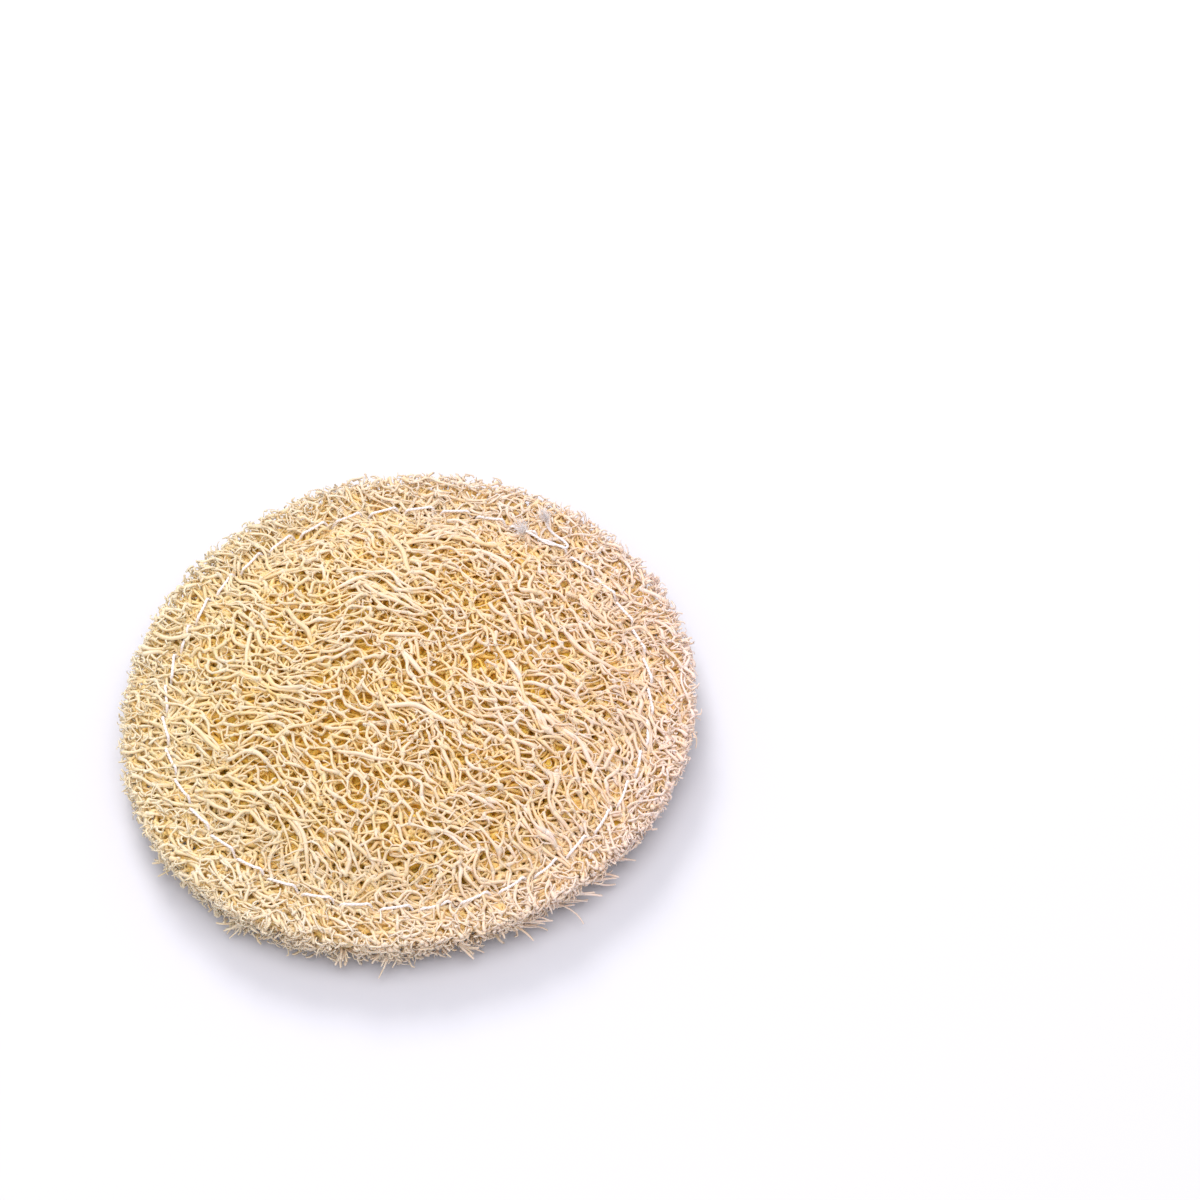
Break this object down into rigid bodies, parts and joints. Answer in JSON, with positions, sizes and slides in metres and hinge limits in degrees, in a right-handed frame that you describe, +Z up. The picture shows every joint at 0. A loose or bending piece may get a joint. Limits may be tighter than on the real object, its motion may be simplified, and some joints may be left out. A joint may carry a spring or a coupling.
{
  "type": "round sewn loofah pad",
  "caption": "Round scrubbing pad made of sheets of dried loofah net, laid face to face and sewn together near the rim with white thread.",
  "frame": {"origin": "middle of the underside, on the surface that the pad lies on", "axes": "+Z up through the pad's thickness, X and Y across the round"},
  "size_m": [0.0822, 0.0826, 0.0108],
  "materials": {
    "loofah_fibre": "dry pale cream plant fibre, matt with a faint sheen",
    "cotton_thread": "white twisted cotton, matt"
  },
  "bodies": {
    "root": {"upper_sheet": "loofah_fibre", "lower_sheet": "loofah_fibre", "needle_thread": "cotton_thread", "bobbin_thread": "cotton_thread"}
  },
  "joints": []
}
